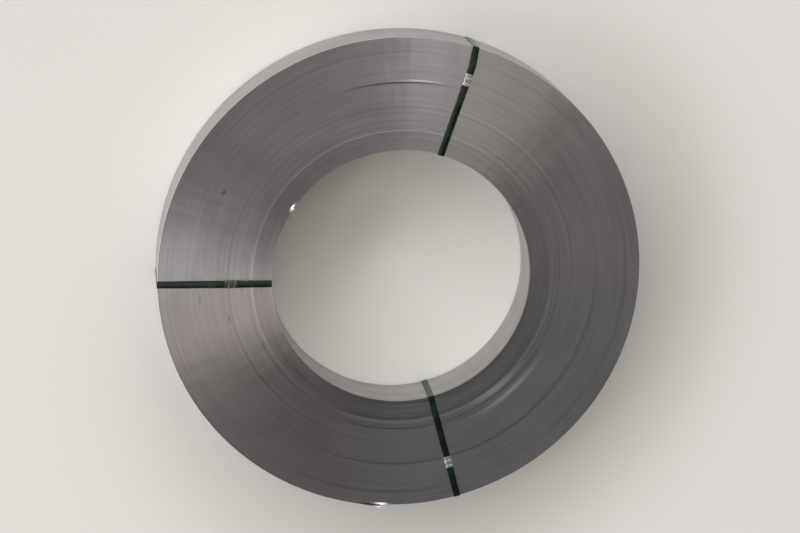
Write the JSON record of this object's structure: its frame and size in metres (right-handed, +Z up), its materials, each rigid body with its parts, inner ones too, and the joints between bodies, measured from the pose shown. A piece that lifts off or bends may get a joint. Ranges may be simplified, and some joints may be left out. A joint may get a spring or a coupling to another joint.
{
  "type": "steel coil",
  "caption": "Narrow steel strip wound into a flat ring with an open round eye, tied by green plastic straps through the eye with crimped steel seals.",
  "frame": {"origin": "on the floor, under the centre of the coil's eye", "axes": "+Z up through the eye; the left strap lies along -X"},
  "size_m": [0.9498, 0.9514, 0.1054],
  "materials": {
    "steel_strip": "cold-rolled strip, slit edges in fine rings, a thin film of oil",
    "polyester_strap": "extruded dark green polyester band, embossed, half gloss",
    "zinc_coated_seal": "thin zinc-coated sheet steel, crimped"
  },
  "bodies": {
    "root": {"coil": "steel_strip", "strap_1": "polyester_strap", "strap_2": "polyester_strap", "strap_3": "polyester_strap", "seal_1": "zinc_coated_seal", "seal_2": "zinc_coated_seal", "seal_3": "zinc_coated_seal"}
  },
  "joints": []
}
